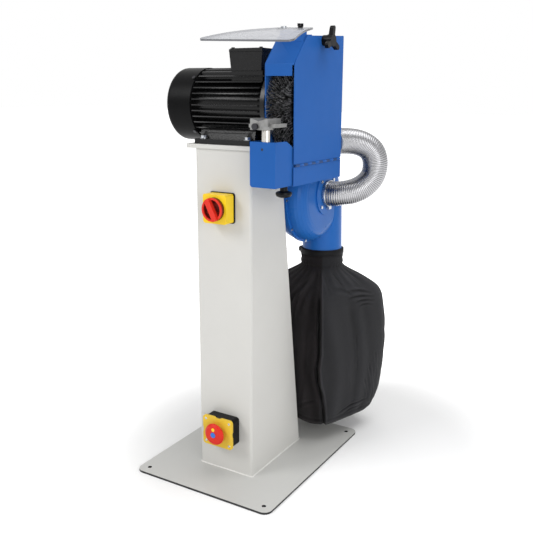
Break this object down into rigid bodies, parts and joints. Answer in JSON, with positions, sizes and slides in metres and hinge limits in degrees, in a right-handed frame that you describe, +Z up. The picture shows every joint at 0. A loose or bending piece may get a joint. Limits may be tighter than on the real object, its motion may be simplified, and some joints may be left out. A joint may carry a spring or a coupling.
{
  "type": "wire brush deburring machine",
  "caption": "Pedestal machine with a motor-driven wire brush wheel in a side-mounted guard, height-adjustable V rest, eye shield, and a blower that fills a hanging dust bag.",
  "frame": {"origin": "centre of the floor anchor pattern, on the underside of the base plate", "axes": "+Z up, +X along the motor shaft towards the brush, -Y towards the operator"},
  "size_m": [0.466, 0.6935, 1.105],
  "materials": {
    "blue_paint": "semi-gloss powder coat",
    "blower_blue": "semi-gloss powder coat",
    "grey_paint": "satin powder coat",
    "plate_grey": "satin paint",
    "motor_black": "satin enamel on cast aluminium",
    "black_plastic": "moulded, satin",
    "bright_steel": "turned or zinc plated",
    "dark_steel": "black oxide",
    "chrome": "ground and plated",
    "cast_alu": "sand cast",
    "sheet_alu": "stamped",
    "hose": "corrugated",
    "wire_bundle": "crimped wire",
    "laminated_steel": "stacked sheet",
    "yellow_plastic": "moulded",
    "red_plastic": "moulded",
    "blue_plastic": "moulded",
    "clear_sheet": "clear polycarbonate",
    "bag_cloth": "woven filter cloth",
    "strap": "matt band"
  },
  "bodies": {
    "base": {"base_plate": "plate_grey", "column": "grey_paint", "motor_plate": "grey_paint", "motor_frame": "motor_black", "drive_end_shield": "motor_black", "rear_end_shield": "motor_black", "fan_cowl": "motor_black", "stator": "laminated_steel", "motor_bearings": "bright_steel", "terminal_box": "motor_black", "terminal_lid": "motor_black", "cable_gland": "black_plastic", "frame_bolts": "bright_steel", "cowl_screws": "dark_steel", "guard_side_plate": "blue_paint", "guard_wrap": "blue_paint", "guard_sill": "blue_paint", "hinge_leaf": "blue_paint", "hinge_pin": "bright_steel", "dust_port": "sheet_alu", "extraction_hose": "hose", "hose_clamps": "bright_steel", "blower_front_shell": "blower_blue", "blower_back_shell": "blower_blue", "inlet_flange": "blower_blue", "blower_screws": "bright_steel", "blower_motor": "motor_black", "blower_bracket": "grey_paint", "dust_bag": "bag_cloth", "bag_strap": "strap", "switch_base": "black_plastic", "switch_body": "yellow_plastic", "stop_box": "black_plastic", "stop_cover": "yellow_plastic", "shield_bracket": "blue_paint", "shield_screw": "bright_steel"},
    "spindle": {"motor_shaft": "bright_steel", "rotor_core": "laminated_steel", "cooling_fan": "black_plastic", "shaft_key": "bright_steel", "brush_arbor": "bright_steel", "brush_flanges": "bright_steel", "brush_core": "dark_steel", "brush_wires": "wire_bundle", "arbor_nut": "bright_steel"},
    "fan_wheel": {"impeller": "sheet_alu"},
    "door": {"side_door": "blue_paint"},
    "door_lock": {"door_knob": "black_plastic"},
    "main_handle": {"switch_handle": "red_plastic"},
    "stop_pin": {"stop_plunger": "blue_plastic"},
    "stop_head": {"stop_button": "red_plastic"},
    "bracket": {"rest_bracket": "blue_paint", "rod_socket": "blue_paint", "rod_set_screw": "dark_steel"},
    "bracket_lock": {"bracket_knob": "black_plastic"},
    "rod": {"rest_rod": "chrome"},
    "rest": {"rest_block": "cast_alu", "rest_clamp_screw": "dark_steel"},
    "shield": {"eye_shield": "clear_sheet"},
    "shield_lock": {"shield_knob": "black_plastic"}
  },
  "joints": [
    {"name": "spindle_spin", "type": "hinge", "parent": "base", "child": "spindle", "pos_m": [0, -0.04, 0.928], "axis": [1, 0, 0], "continuous": true},
    {"name": "fan_spin", "type": "hinge", "parent": "base", "child": "fan_wheel", "pos_m": [0, 0.177, 0.699], "axis": [1, 0, 0], "continuous": true},
    {"name": "door_hinge", "type": "hinge", "parent": "base", "child": "door", "pos_m": [0.192, -0.015, 0.8003], "axis": [0, 1, 0], "range_deg": [0, 110]},
    {"name": "door_knob_turn", "type": "hinge", "parent": "door", "child": "door_lock", "pos_m": [0.1925, 0, 1.073], "axis": [1, 0, 0], "range_deg": [-360, 0]},
    {"name": "main_switch_turn", "type": "hinge", "parent": "base", "child": "main_handle", "pos_m": [0, -0.165, 0.692], "axis": [0, 1, 0], "range_deg": [0, 90]},
    {"name": "stop_push", "type": "slide", "parent": "base", "child": "stop_pin", "axis": [0, 1, 0], "range_m": [0, 0.006], "stiffness_N_per_m": 1500},
    {"name": "stop_twist", "type": "hinge", "parent": "stop_pin", "child": "stop_head", "pos_m": [0, -0.173, 0.125], "axis": [0, 1, 0], "range_deg": [0, 45]},
    {"name": "bracket_slide", "type": "slide", "parent": "base", "child": "bracket", "axis": [0, -1, 0], "range_m": [0, 0.035]},
    {"name": "bracket_knob_turn", "type": "hinge", "parent": "base", "child": "bracket_lock", "pos_m": [0.155, -0.11, 0.755], "axis": [0, 0, 1], "range_deg": [-360, 0]},
    {"name": "rod_height", "type": "slide", "parent": "bracket", "child": "rod", "axis": [0, 0, 1], "range_m": [-0.018, 0.03]},
    {"name": "rest_swivel", "type": "hinge", "parent": "rod", "child": "rest", "pos_m": [0.155, -0.188, 0.89], "axis": [0, 0, 1], "range_deg": [-25, 25]},
    {"name": "shield_slide", "type": "slide", "parent": "base", "child": "shield", "axis": [0.0046, 0.9914, 0.1304], "range_m": [0, 0.024]},
    {"name": "shield_knob_turn", "type": "hinge", "parent": "base", "child": "shield_lock", "pos_m": [0.18099, -0.089, 1.09077], "axis": [0.0346, -0.1305, 0.9908], "range_deg": [-360, 0]}
  ]
}
